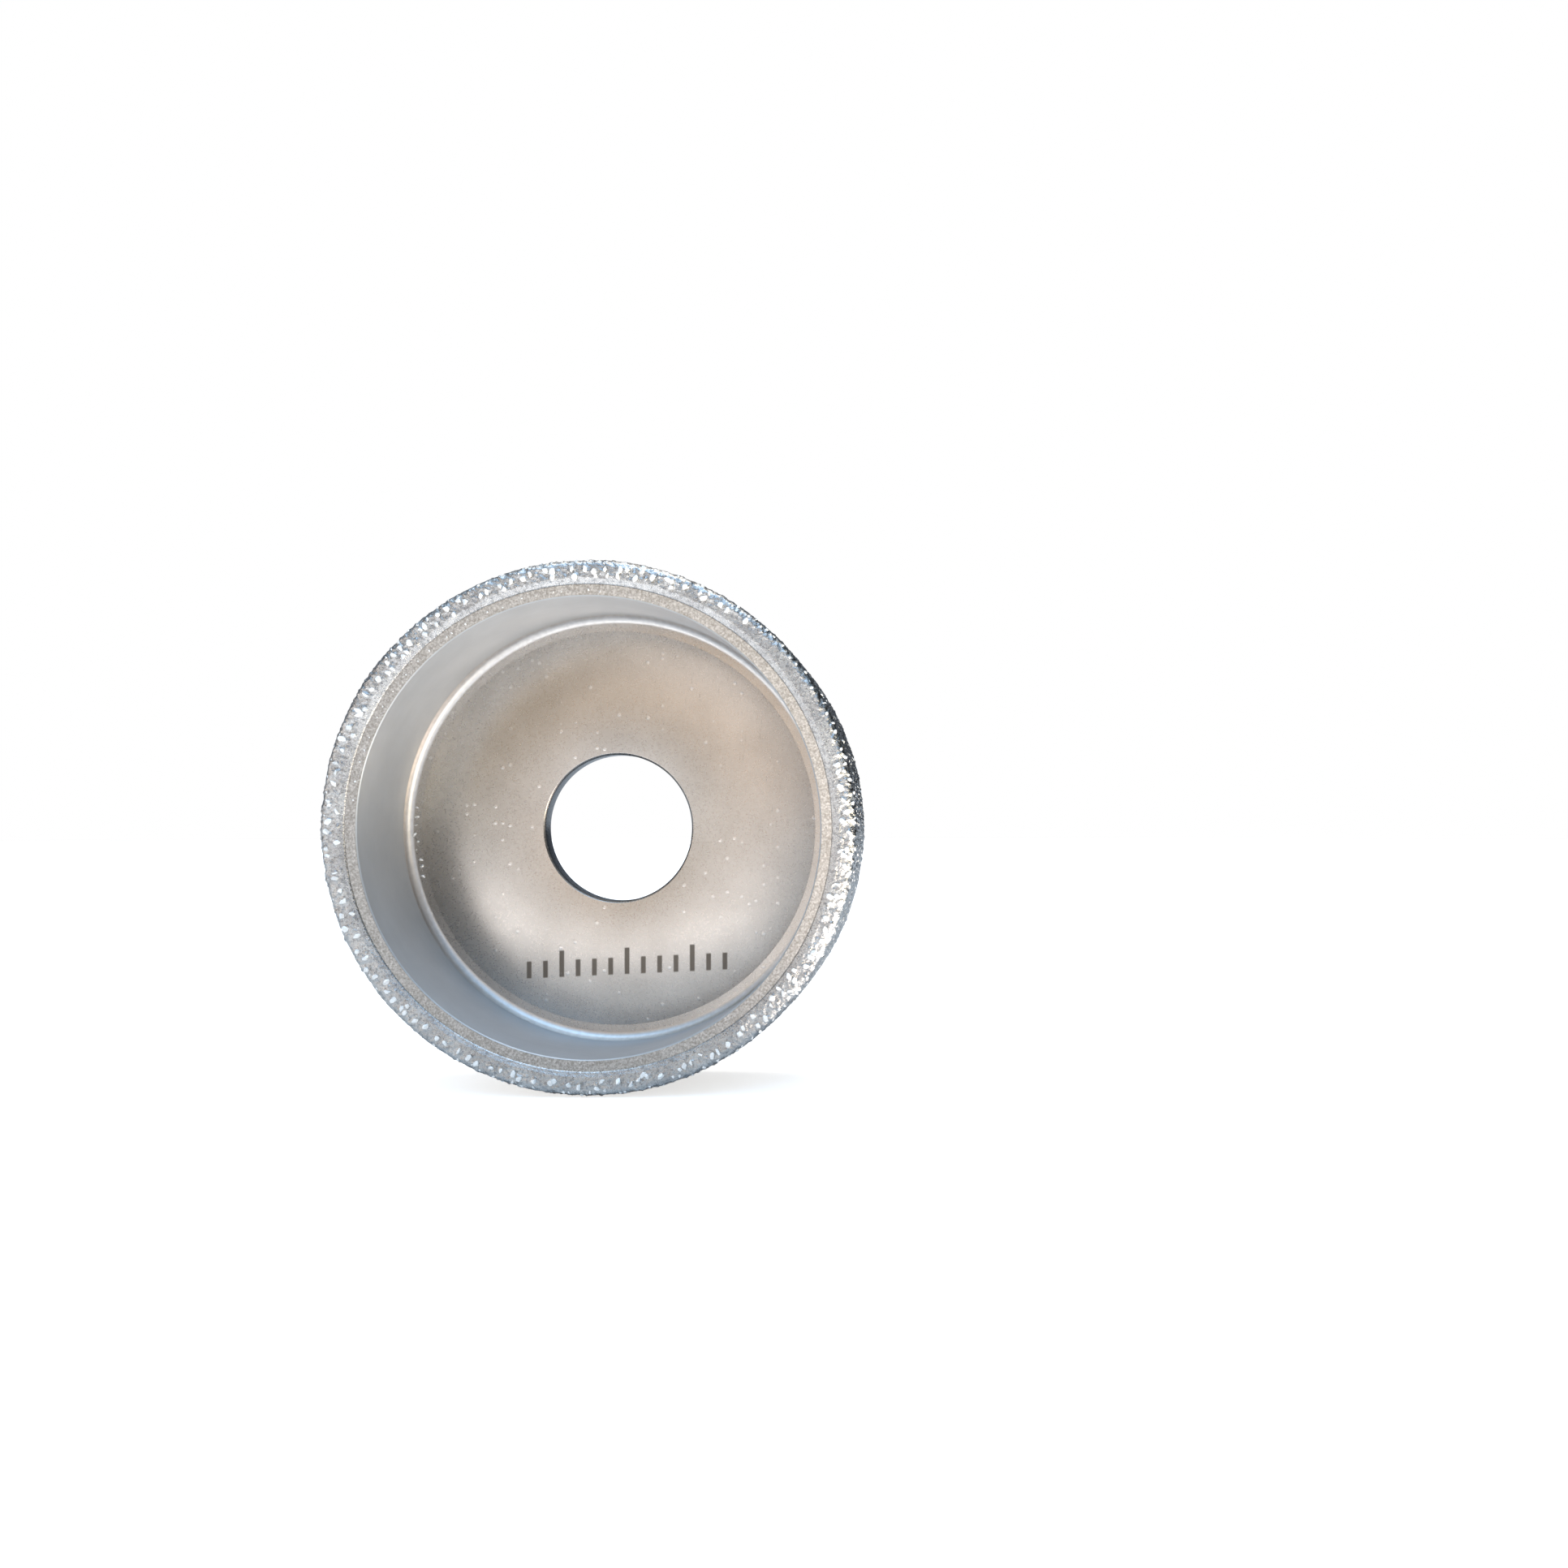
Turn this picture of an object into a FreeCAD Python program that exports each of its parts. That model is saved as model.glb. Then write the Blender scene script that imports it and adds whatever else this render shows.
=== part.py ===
"""Vacuum-brazed diamond grinding wheel in the form of a shallow cup, 75 x 20 x 22.23 mm.

A turned rim ring and a flat web disc, both steel, are brazed together. A coat of nickel braze
covers the rim's lip, its outside and its two rounded edges, and holds the diamond crystals.

Frame: the spin axis is Y. The origin is the bore's centre on the web's back face, where the
machine's flange seats. The cup opens towards -Y, and +Z is up. Lengths are in millimetres.
"""

import FreeCAD, Part
import math
import os
import random
import Sketcher
from types import SimpleNamespace

SHEET = "Dimensions"
PARTS_FOLDER = "parts"
X_AXIS = FreeCAD.Vector(1, 0, 0)
Y_AXIS = FreeCAD.Vector(0, 1, 0)
Z_AXIS = FreeCAD.Vector(0, 0, 1)

# Driving dimensions, in millimetres, degrees or plain counts.
DIMENSIONS = {
    # The three sizes that such a wheel is sold by.
    "wheel_diameter": 75.0,
    "wheel_width": 20.0,
    "bore_diameter": 22.23,
    # Steel rim ring and web disc.
    "bore_chamfer": 0.28,
    "web_thickness": 3.0,
    "cup_radius": 32.2,
    "cup_chamfer": 0.2,
    "front_edge_radius": 0.6,
    "back_edge_radius": 1.6,
    "rebate_radius": 33.8,
    # The clamping nut's seat is faced on the web. Outside it the web is a step lower.
    "seat_radius": 29.9,
    "seat_step": 0.1,
    # Braze between the ring and the disc.
    "joint_gap": 0.1,
    "fillet_radius": 1.2,
    "bead_radius": 0.3,
    "bead_count": 9,
    # Coat of braze on the rim.
    "coat_thickness": 0.4,
    "coat_inner_radius": 33.9,
    "back_wrap": 50.0,
    # Crystals, as far as they stand out of the coat.
    "crystal_height": 0.3,
    "crystal_base": 0.68,
    "crystal_top": 0.4,
    "crystal_pitch": 1.6,
    "crystal_jitter": 0.2,
    "stray_scale": 0.55,
    "stray_count": 22,
}

# Where the strays and the beads lie, in degrees about the spin axis from +Z, towards +X.
STRAYS_FROM, STRAYS_TO = -85, 5
BEADS_FROM, BEADS_TO = -83, -105

doc = FreeCAD.newDocument("DiamondGrindingWheel")


class Size:
    """A length that knows its number and the expression that ties it to the sheet."""

    def __init__(self, number, expression):
        self.number = float(number)
        self.expression = expression

    def __float__(self):
        return self.number

    def __neg__(self):
        return Size(-self.number, f"(-{self.expression})")

    def __add__(self, other):
        return Size(self.number + float(other), f"({self.expression} + {written(other)})")

    def __sub__(self, other):
        return Size(self.number - float(other), f"({self.expression} - {written(other)})")

    def __mul__(self, other):
        return Size(self.number * float(other), f"({self.expression} * {written(other)})")

    def __truediv__(self, other):
        return Size(self.number / float(other), f"({self.expression} / {written(other)})")


def written(amount):
    """A size's expression, or a plain number as text."""
    return amount.expression if isinstance(amount, Size) else str(amount)


def cosine(angle):
    return Size(math.cos(math.radians(angle)), f"cos({angle.expression} * 1deg)")


def sine(angle):
    return Size(math.sin(math.radians(angle)), f"sin({angle.expression} * 1deg)")


def make_sheet():
    """The sheet of dimensions, and a size for each of its cells."""
    table = doc.addObject("Spreadsheet::Sheet", SHEET)
    for row, (alias, number) in enumerate(DIMENSIONS.items(), start=1):
        table.set(f"A{row}", alias)
        table.set(f"B{row}", str(number))
        table.setAlias(f"B{row}", alias)
    doc.recompute()
    cells = {alias: Size(table.get(alias), f"{SHEET}.{alias}") for alias in DIMENSIONS}
    return SimpleNamespace(**cells)


dims = make_sheet()

# Where the surfaces lie, worked out from the dimensions. Places along the axis are depths below
# the back face.
ZERO = Size(0, "0")
BORE_RADIUS = dims.bore_diameter / 2
DISC_RADIUS = dims.rebate_radius - dims.joint_gap
SEAT_EDGE = dims.web_thickness - dims.seat_step
SHOULDER = SEAT_EDGE + dims.joint_gap
COAT_OUTSIDE = dims.wheel_diameter / 2 - dims.crystal_height
COAT_LIP = dims.wheel_width - dims.crystal_height
CORE_OUTSIDE = COAT_OUTSIDE - dims.coat_thickness
CORE_LIP = COAT_LIP - dims.coat_thickness


class Edge:
    """One of the rim's two rounded edges: its radii, and its centre as radius and depth."""

    def __init__(self, radius, depth):
        self.core = radius
        self.coat = radius + dims.coat_thickness
        self.centre = CORE_OUTSIDE - radius
        self.depth = depth


FRONT = Edge(dims.front_edge_radius, CORE_LIP - dims.front_edge_radius)
BACK = Edge(dims.back_edge_radius, dims.back_edge_radius)


def closed_sketch(body, corners):
    """A closed sketch on the XY plane: x is the radius and y runs along the spin axis.

    A corner is (x, y), or (x, y, radius, centre x, centre y) where an arc leads to the next one.
    All of them are sizes, and the sketch's own constraints keep them.
    """
    sketch = body.newObject("Sketcher::SketchObject", body.Name + "_profile")
    plane = next(f for f in body.Origin.OriginFeatures if f.Role == "XY_Plane")
    sketch.AttachmentSupport = (plane, [""])
    sketch.MapMode = "FlatFace"
    points = [FreeCAD.Vector(float(c[0]), float(c[1]), 0) for c in corners]
    starts = []
    for i, corner in enumerate(corners):
        start, end = points[i], points[(i + 1) % len(points)]
        if len(corner) == 2:
            sketch.addGeometry(Part.LineSegment(start, end), False)
            starts.append(1)
            continue
        centre = FreeCAD.Vector(float(corner[3]), float(corner[4]), 0)
        a = math.atan2(start.y - centre.y, start.x - centre.x)
        b = math.atan2(end.y - centre.y, end.x - centre.x)
        forward = (b - a) % (2 * math.pi) < math.pi
        circle = Part.Circle(centre, Z_AXIS, float(corner[2]))
        sketch.addGeometry(Part.ArcOfCircle(circle, *((a, b) if forward else (b, a))), False)
        starts.append(1 if forward else 2)
    for i, start in enumerate(starts):
        after = (i + 1) % len(starts)
        sketch.addConstraint(Sketcher.Constraint("Coincident", i, 3 - start, after, starts[after]))

    def drive(name, size, kind, *place):
        """A constraint of that kind, named, and driven by the size's expression."""
        sketch.renameConstraint(sketch.addConstraint(Sketcher.Constraint(kind, *place, float(size))), name)
        sketch.setExpression(f"Constraints.{name}", size.expression)

    for i, corner in enumerate(corners):
        drive(f"x{i}", corner[0], "DistanceX", i, starts[i])
        drive(f"y{i}", corner[1], "DistanceY", i, starts[i])
        if len(corner) > 2:
            drive(f"radius{i}", corner[2], "Radius", i)
    return sketch


def turned(label, corners):
    """A body turned about the spin axis from a closed profile."""
    body = doc.addObject("PartDesign::Body", label)
    sketch = closed_sketch(body, corners)
    turning = body.newObject("PartDesign::Revolution", label + "_turned")
    turning.Profile = sketch
    turning.ReferenceAxis = (sketch, ["V_Axis"])
    turning.Angle = 360
    doc.recompute()
    return body


def make_web_disc():
    """Flat disc with the bore, faced in front to seat the clamping nut."""
    chamfer = dims.bore_chamfer
    return turned(
        "web_disc",
        [
            (BORE_RADIUS, -chamfer),
            (BORE_RADIUS + chamfer, ZERO),
            (DISC_RADIUS, ZERO),
            (DISC_RADIUS, -SEAT_EDGE),
            (dims.seat_radius, -SEAT_EDGE),
            (dims.seat_radius, -dims.web_thickness),
            (BORE_RADIUS + chamfer, -dims.web_thickness),
            (BORE_RADIUS, chamfer - dims.web_thickness),
        ],
    )


def make_rim_ring():
    """Ring with the cup's wall, rounded outer edges, and a rebate that holds the disc."""
    return turned(
        "rim_ring",
        [
            (dims.cup_radius, -SHOULDER),
            (dims.rebate_radius, -SHOULDER),
            (dims.rebate_radius, ZERO),
            (BACK.centre, ZERO, BACK.core, BACK.centre, -BACK.depth),
            (CORE_OUTSIDE, -BACK.depth),
            (CORE_OUTSIDE, -FRONT.depth, FRONT.core, FRONT.centre, -FRONT.depth),
            (FRONT.centre, -CORE_LIP),
            (dims.cup_radius + dims.cup_chamfer, -CORE_LIP),
            (dims.cup_radius, dims.cup_chamfer - CORE_LIP),
        ],
    )


def make_web_braze():
    """Braze that fills the gap between disc and ring, with a fillet in the cup's corner."""
    toe = dims.cup_radius - dims.fillet_radius
    crest = dims.web_thickness + dims.fillet_radius
    return turned(
        "web_braze",
        [
            (dims.seat_radius, -dims.web_thickness),
            (dims.seat_radius, -SEAT_EDGE),
            (DISC_RADIUS, -SEAT_EDGE),
            (DISC_RADIUS, ZERO),
            (dims.rebate_radius, ZERO),
            (dims.rebate_radius, -SHOULDER),
            (dims.cup_radius, -SHOULDER),
            (dims.cup_radius, -crest, dims.fillet_radius, toe, -crest),
            (toe, -dims.web_thickness),
        ],
    )


def make_braze_coat():
    """Coat on the rim, from the lip over the front edge and the outside to the back edge."""

    def end(radius):
        """The coat's end on the back edge, at one of its two radii."""
        place = BACK.centre + radius * cosine(dims.back_wrap)
        return place, radius * sine(dims.back_wrap) - BACK.depth

    return turned(
        "braze_coat",
        [
            (dims.coat_inner_radius, -CORE_LIP),
            (dims.coat_inner_radius, -COAT_LIP),
            (FRONT.centre, -COAT_LIP, FRONT.coat, FRONT.centre, -FRONT.depth),
            (COAT_OUTSIDE, -FRONT.depth),
            (COAT_OUTSIDE, -BACK.depth, BACK.coat, BACK.centre, -BACK.depth),
            end(BACK.coat),
            (*end(BACK.core), BACK.core, BACK.centre, -BACK.depth),
            (CORE_OUTSIDE, -BACK.depth),
            (CORE_OUTSIDE, -FRONT.depth, FRONT.core, FRONT.centre, -FRONT.depth),
            (FRONT.centre, -CORE_LIP),
        ],
    )


def crystal(width=1.0, height=1.0):
    """The part of a crystal that stands out of the coat: a flat-topped pyramid on +Z."""
    foot, top = (float(size) * width / 2 for size in (dims.crystal_base, dims.crystal_top))
    levels = ((foot, 0), (top, float(dims.crystal_height) * height))
    signs = ((-1, -1), (1, -1), (1, 1), (-1, 1))
    low, high = ([FreeCAD.Vector(x * half, y * half, z) for x, y in signs] for half, z in levels)
    rings = [low, high]
    for i in range(4):
        j = (i + 1) % 4
        rings.append([low[i], low[j], high[j], high[i]])
    faces = [Part.Face(Part.makePolygon([*ring, ring[0]])) for ring in rings]
    solid = Part.Solid(Part.Shell(faces))
    if solid.Volume < 0:
        solid.reverse()
    return solid


def stand(solid, radius, along, around, tilt, twist=0.0):
    """Moves the solid to its place on the wheel, in degrees about the spin axis, with its +Z
    outwards: tilt 0 points away from the axis, -90 out of the cup and 90 out of the back."""
    about_axis = FreeCAD.Rotation(Y_AXIS, around)
    turn = about_axis * FreeCAD.Rotation(X_AXIS, -tilt) * FreeCAD.Rotation(Z_AXIS, twist)
    place = about_axis.multVec(Z_AXIS) * radius + Y_AXIS * along
    solid.Placement = FreeCAD.Placement(place, turn)
    return solid


def group(label, solids):
    """One object that holds separate solids."""
    held = doc.addObject("Part::Feature", label)
    held.Shape = Part.makeCompound(solids)
    return held


def crystal_rows(label, rows, smallest=0.75, largest=1.0):
    """Rows of crystals round the wheel, each a little off its place in a staggered grid.

    A row is a function that turns a shift across the row into (radius, place along the axis,
    tilt). The smallest and the largest width are shares of the full one.
    """
    chance = random.Random(label)
    jitter = float(dims.crystal_jitter)
    count = round(2 * math.pi * rows[0](0)[0] / float(dims.crystal_pitch))
    solids = []
    for number, row in enumerate(rows):
        for i in range(count):
            radius, along, tilt = row(jitter * chance.uniform(-1, 1))
            shift = math.degrees(jitter * chance.uniform(-1, 1) / radius)
            around = (i + number % 2 / 2) * 360 / count + shift
            solid = crystal(width=chance.uniform(smallest, largest))
            solids.append(stand(solid, radius, along, around, tilt, chance.uniform(0, 90)))
    return group(label, solids)


def row_on_edge(edge, angle):
    """A row on one of the coat's two rounded edges, at that angle towards the back."""
    bend = float(edge.coat)

    def place(across):
        tilt = angle + math.degrees(across / bend)
        lean = math.radians(tilt)
        along = bend * math.sin(lean) - float(edge.depth)
        return float(edge.centre) + bend * math.cos(lean), along, tilt

    return place


def row_on_lip(radius):
    return lambda across: (radius + across, -float(COAT_LIP), -90)


def row_on_outside(along):
    return lambda across: (float(COAT_OUTSIDE), along + across, 0)


def make_crystals():
    """The crystals in four groups, by the part of the coat that holds them."""
    front, back = -float(FRONT.depth), -float(BACK.depth)
    row_gap = float(dims.crystal_pitch) * math.sin(math.radians(60))
    count = round((back - front) / row_gap)
    places = [front + (back - front) * (i + 0.5) / count for i in range(count)]
    inner = float(dims.coat_inner_radius) + float(dims.crystal_base)
    outer = float(FRONT.centre) - float(dims.crystal_base) * 2 / 3
    return [
        crystal_rows("crystals_lip", [row_on_lip(inner), row_on_lip(outer)], 0.6, 0.85),
        crystal_rows("crystals_front_edge", [row_on_edge(FRONT, -45)], 0.6, 0.85),
        crystal_rows("crystals_outside", [row_on_outside(along) for along in places]),
        crystal_rows("crystals_back_edge", [row_on_edge(BACK, 25)]),
    ]


def make_stray_crystals():
    """Small crystals caught on the bare steel of the lip, mostly along its upper left."""
    chance = random.Random("stray_crystals")
    scale, count = float(dims.stray_scale), round(float(dims.stray_count))
    inmost = float(dims.cup_radius + dims.cup_chamfer + dims.crystal_base * scale)
    solids = []
    for i in range(count):
        around = STRAYS_FROM + (STRAYS_TO - STRAYS_FROM) * (i + chance.uniform(0.1, 0.9)) / count
        solid = crystal(width=scale, height=scale)
        radius = inmost + chance.uniform(0, 0.35)
        solids.append(stand(solid, radius, -float(CORE_LIP), around, -90, chance.uniform(0, 90)))
    return group("stray_crystals", solids)


def make_braze_beads():
    """Beads of braze at the foot of the fillet, at the left of the cup's floor."""
    chance = random.Random("braze_beads")
    radius, count = float(dims.seat_radius + dims.bead_radius), round(float(dims.bead_count))
    solids = []
    for i in range(count):
        around = BEADS_FROM + (BEADS_TO - BEADS_FROM) * (i + chance.uniform(0.3, 0.7)) / count
        size = float(dims.bead_radius) * chance.uniform(0.6, 1)
        bead = Part.makeSphere(size, FreeCAD.Vector(), Z_AXIS, 0, 90, 360)
        solids.append(stand(bead, radius, -float(dims.web_thickness), around, -90))
    return group("braze_beads", solids)


def check(objects):
    """Stops before anything is written if an object failed or a shape isn't sound."""
    doc.recompute()
    for item in doc.Objects:
        if {"Invalid", "Error"} & set(item.State):
            raise SystemExit(f"{item.Label} failed: {item.State}")
    for item in objects:
        shape = item.Shape
        if shape.isNull() or not shape.isValid() or not shape.Solids:
            raise SystemExit(f"{item.Label} has no valid shape")
        if min(solid.Volume for solid in shape.Solids) <= 0:
            raise SystemExit(f"{item.Label} holds a solid that is inside out")


def main():
    objects = [
        make_web_disc(),
        make_rim_ring(),
        make_web_braze(),
        make_braze_beads(),
        make_braze_coat(),
        make_stray_crystals(),
        *make_crystals(),
    ]
    check(objects)
    os.makedirs(PARTS_FOLDER, exist_ok=True)
    for item in objects:
        item.Shape.exportStep(f"{PARTS_FOLDER}/{item.Label}.step")
        box = item.Shape.BoundBox
        print(
            f"{item.Label:20} {len(item.Shape.Solids):5} solids {item.Shape.Volume:10.3f} mm3"
            f"  y {box.YMin:7.3f} to {box.YMax:7.3f}, radius {box.XMax:7.3f}"
        )


main()
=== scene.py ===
"""Looks of the vacuum-brazed diamond grinding wheel, in the CAD model's frame and in metres.

The spin axis is Y. The cup opens towards -Y, +Z is up, and the wheel stands on its rim.
Angles round the wheel run from +Z towards +X. Sizes in the comments and names are millimetres.
"""

import math

import bmesh
import bpy
import numpy as np
from mathutils import Euler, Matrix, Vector


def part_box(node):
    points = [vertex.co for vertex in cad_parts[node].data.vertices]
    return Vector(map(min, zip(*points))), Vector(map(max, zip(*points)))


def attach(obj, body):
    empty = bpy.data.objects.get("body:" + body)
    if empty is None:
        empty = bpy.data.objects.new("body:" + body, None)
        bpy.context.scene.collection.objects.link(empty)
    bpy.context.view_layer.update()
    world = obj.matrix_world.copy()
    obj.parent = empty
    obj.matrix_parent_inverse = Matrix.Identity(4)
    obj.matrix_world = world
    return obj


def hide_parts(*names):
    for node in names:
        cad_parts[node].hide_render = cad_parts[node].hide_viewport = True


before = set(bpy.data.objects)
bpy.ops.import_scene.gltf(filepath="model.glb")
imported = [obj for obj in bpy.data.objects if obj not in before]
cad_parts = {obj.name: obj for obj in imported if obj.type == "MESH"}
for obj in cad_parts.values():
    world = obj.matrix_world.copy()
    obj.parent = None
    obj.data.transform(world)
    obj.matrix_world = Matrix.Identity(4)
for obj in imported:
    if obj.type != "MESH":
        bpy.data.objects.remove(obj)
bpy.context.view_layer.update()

MM = 0.001
TAU = 2 * math.pi


# ---------------------------------------------------------------- sizes, from the frame


def node_points(node):
    """A CAD node's vertices in millimetres, in the order they were packed."""
    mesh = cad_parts[node].data
    flat = np.zeros(len(mesh.vertices) * 3, np.float32)
    mesh.vertices.foreach_get("co", flat)
    return flat.reshape(-1, 3).astype(float) / MM


def inner_radius(node):
    """A CAD node's smallest distance from the spin axis, in millimetres."""
    points = node_points(node)
    return float(np.hypot(points[:, 0], points[:, 2]).min())


def corners(node):
    """A CAD node's lowest and highest corners, in millimetres."""
    low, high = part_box(node)
    return low / MM, high / MM


CORE_LOW, CORE_HIGH = corners("rim_ring")
DISC_LOW, DISC_HIGH = corners("web_disc")
BRAZE_LOW, BRAZE_HIGH = corners("web_braze")

CORE_RADIUS = CORE_HIGH.x
CORE_LIP = CORE_LOW.y
CUP_RADIUS = inner_radius("rim_ring")
COAT_RADIUS = corners("braze_coat")[1].x
COAT_THICKNESS = COAT_RADIUS - CORE_RADIUS
COAT_START = inner_radius("braze_coat")
BORE_RADIUS = inner_radius("web_disc")
DISC_RADIUS = DISC_HIGH.x
SEAT_RADIUS = inner_radius("web_braze")
FLOOR = DISC_LOW.y
REBATE_RADIUS = BRAZE_HIGH.x
FILLET_TOP = BRAZE_LOW.y
FILLET_RADIUS = FLOOR - FILLET_TOP
GROUND = -max(abs(corners("crystals_outside")[0].z), COAT_RADIUS)

# Details that the frame doesn't give.
FRONT_EDGE, BACK_EDGE = 0.6, 1.6
CUP_CHAMFER = 0.2
BORE_CHAMFER = 0.28
SEAT_STEP = 0.1
FINE_EDGE = 0.05
LATHE_STEPS = 720


# ---------------------------------------------------------------- meshes


def mesh_piece(name, points, faces, material, node, smooth_angle=None):
    """A mesh object from points in millimetres, riding on the wheel and standing for a node."""
    mesh = bpy.data.meshes.new(name)
    points = np.asarray(points, float) * MM
    loops = np.concatenate([np.asarray(f).reshape(-1) for f in faces]).astype(np.int32)
    sizes = np.concatenate([np.full(len(f), np.shape(f)[1]) for f in faces]).astype(np.int32)
    mesh.vertices.add(len(points))
    mesh.vertices.foreach_set("co", points.astype(np.float32).reshape(-1))
    mesh.loops.add(len(loops))
    mesh.loops.foreach_set("vertex_index", loops)
    mesh.polygons.add(len(sizes))
    mesh.polygons.foreach_set("loop_start", np.concatenate([[0], np.cumsum(sizes)[:-1]]))
    mesh.polygons.foreach_set("loop_total", sizes)
    mesh.update(calc_edges=True)
    mesh.validate()
    mesh.materials.append(material)
    if smooth_angle is None:
        mesh.shade_flat()
    else:
        mesh.shade_smooth()
        mesh.set_sharp_from_angle(angle=math.radians(smooth_angle))
    piece = bpy.data.objects.new(name, mesh)
    bpy.context.scene.collection.objects.link(piece)
    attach(piece, "root")
    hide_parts(node)
    return piece


def arc(centre, radius, start, end, steps):
    """Profile points on an arc, in (radius, along), with angles in degrees."""
    angles = np.radians(np.linspace(start, end, steps + 1))
    return [(centre[0] + radius * math.cos(a), centre[1] + radius * math.sin(a)) for a in angles]


def rounded(profile, radius=FINE_EDGE, sharpest=20):
    """The closed profile with a fine round on each corner that turns more than the angle."""
    made = []
    points = [Vector(p) for p in profile]
    for i, corner in enumerate(points):
        into = corner - points[i - 1]
        out = points[(i + 1) % len(points)] - corner
        turn = math.degrees(into.angle(out))
        if turn < sharpest:
            made.append(tuple(corner))
            continue
        cut = min(radius, into.length / 3, out.length / 3)
        a, b = corner - into.normalized() * cut, corner + out.normalized() * cut
        for t in (0, 0.33, 0.67, 1):
            made.append(tuple((1 - t) ** 2 * a + 2 * t * (1 - t) * corner + t * t * b))
    return made


def lathe(name, profile, material, node, smooth_angle=30):
    """A closed ring turned about the spin axis from a closed profile in (radius, along)."""
    rows = len(profile)
    angles = np.arange(LATHE_STEPS) * TAU / LATHE_STEPS
    radius, along = np.array(profile).T
    points = np.stack(
        [
            np.outer(np.sin(angles), radius),
            np.tile(along, (LATHE_STEPS, 1)),
            np.outer(np.cos(angles), radius),
        ],
        axis=-1,
    ).reshape(-1, 3)
    i, j = np.meshgrid(np.arange(LATHE_STEPS), np.arange(rows), indexing="ij")
    ahead, after = (i + 1) % LATHE_STEPS, (j + 1) % rows
    quads = np.stack(
        [i * rows + j, i * rows + after, ahead * rows + after, ahead * rows + j], axis=-1
    ).reshape(-1, 4)
    return mesh_piece(name, points, [quads], material, node, smooth_angle)


# ---------------------------------------------------------------- noise on the coat


def lattice_noise(seed, u, v, cells_u, cells_v):
    """Smooth noise from -1 to 1 on a grid of random numbers that repeats after cells_u, cells_v."""
    table = np.random.default_rng(seed).uniform(-1, 1, (cells_u, cells_v))
    iu, iv = np.floor(u).astype(int), np.floor(v).astype(int)
    fu, fv = u - iu, v - iv
    fu, fv = (f * f * f * (f * (f * 6 - 15) + 10) for f in (fu, fv))
    a, b = iu % cells_u, (iu + 1) % cells_u
    c, d = iv % cells_v, (iv + 1) % cells_v
    low = table[a, c] * (1 - fu) + table[b, c] * fu
    high = table[a, d] * (1 - fu) + table[b, d] * fu
    return low * (1 - fv) + high * fv


def surface_noise(seed, around, across, pitch_around, pitch_across, turns=0):
    """Noise over the coat, in millimetres around and across. Each of the turns slants its grain."""
    cells_u = max(round(ROUND_LENGTH / pitch_around), 1)
    repeat = ROUND_LENGTH / 10
    cells_v = max(round(repeat / pitch_across), 1)
    slanted = across + turns * repeat * around / ROUND_LENGTH
    return lattice_noise(
        seed, around / ROUND_LENGTH * cells_u, slanted / repeat * cells_v, cells_u, cells_v
    )


def smooth(low, high, x):
    """0 below low, 1 above high, with a soft change between."""
    t = np.clip((x - low) / (high - low), 0, 1)
    return t * t * (3 - 2 * t)


# ---------------------------------------------------------------- the coat

ROUND_LENGTH = TAU * COAT_RADIUS
COAT_AROUND = 1560
COAT_ACROSS = 150
INNER_ACROSS = 24
BACK_WRAP = 56.0
TOE_RADIUS = COAT_START - 0.1

# The centres of the rim's rounded edges, in (radius, along).
FRONT_CENTRE = (CORE_RADIUS - FRONT_EDGE, CORE_LIP + FRONT_EDGE)
BACK_CENTRE = (CORE_RADIUS - BACK_EDGE, -BACK_EDGE)

# The lengths across the coat's outside: the lip, the front edge, the side and the back edge.
LIP_LENGTH = FRONT_CENTRE[0] - TOE_RADIUS
FRONT_BEND, BACK_BEND = FRONT_EDGE + COAT_THICKNESS, BACK_EDGE + COAT_THICKNESS
SIDE_START = LIP_LENGTH + FRONT_BEND * math.pi / 2
SIDE_END = SIDE_START + BACK_CENTRE[1] - FRONT_CENTRE[1]
ACROSS_LENGTH = SIDE_END + BACK_BEND * math.radians(BACK_WRAP)


def steel_at(across):
    """The steel's surface under the coat, for distances across it from the lip's inner side:
    radius, place along the axis, and the direction outwards as (radius part, axis part)."""
    front_tilt = np.clip((across - LIP_LENGTH) / FRONT_BEND, 0, math.pi / 2) - math.pi / 2
    back_tilt = np.maximum(across - SIDE_END, 0) / BACK_BEND
    before = across < SIDE_END
    tilt = np.where(before, front_tilt, back_tilt)
    radius = np.where(
        before,
        FRONT_CENTRE[0] + FRONT_EDGE * np.cos(tilt) + np.minimum(across - LIP_LENGTH, 0),
        BACK_CENTRE[0] + BACK_EDGE * np.cos(tilt),
    )
    along = np.where(
        before,
        FRONT_CENTRE[1] + FRONT_EDGE * np.sin(tilt) + np.maximum(across - SIDE_START, 0),
        BACK_CENTRE[1] + BACK_EDGE * np.sin(tilt),
    )
    return radius, along, np.cos(tilt), np.sin(tilt)


def coat_coordinates(points):
    """Distances around and across the coat of points on it."""
    around = np.arctan2(points[:, 0], points[:, 2]) % TAU / TAU * ROUND_LENGTH
    radius, along = np.hypot(points[:, 0], points[:, 2]), points[:, 1]
    front_tilt = np.arctan2(along - FRONT_CENTRE[1], radius - FRONT_CENTRE[0])
    back_tilt = np.arctan2(along - BACK_CENTRE[1], radius - BACK_CENTRE[0])
    across = SIDE_START + along - FRONT_CENTRE[1]
    ahead, behind = along < FRONT_CENTRE[1], along > BACK_CENTRE[1]
    across = np.where(ahead, SIDE_START + front_tilt * FRONT_BEND, across)
    across = np.where(ahead & (radius < FRONT_CENTRE[0]), radius - TOE_RADIUS, across)
    across = np.where(behind, SIDE_END + back_tilt * BACK_BEND, across)
    return around, across


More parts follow.
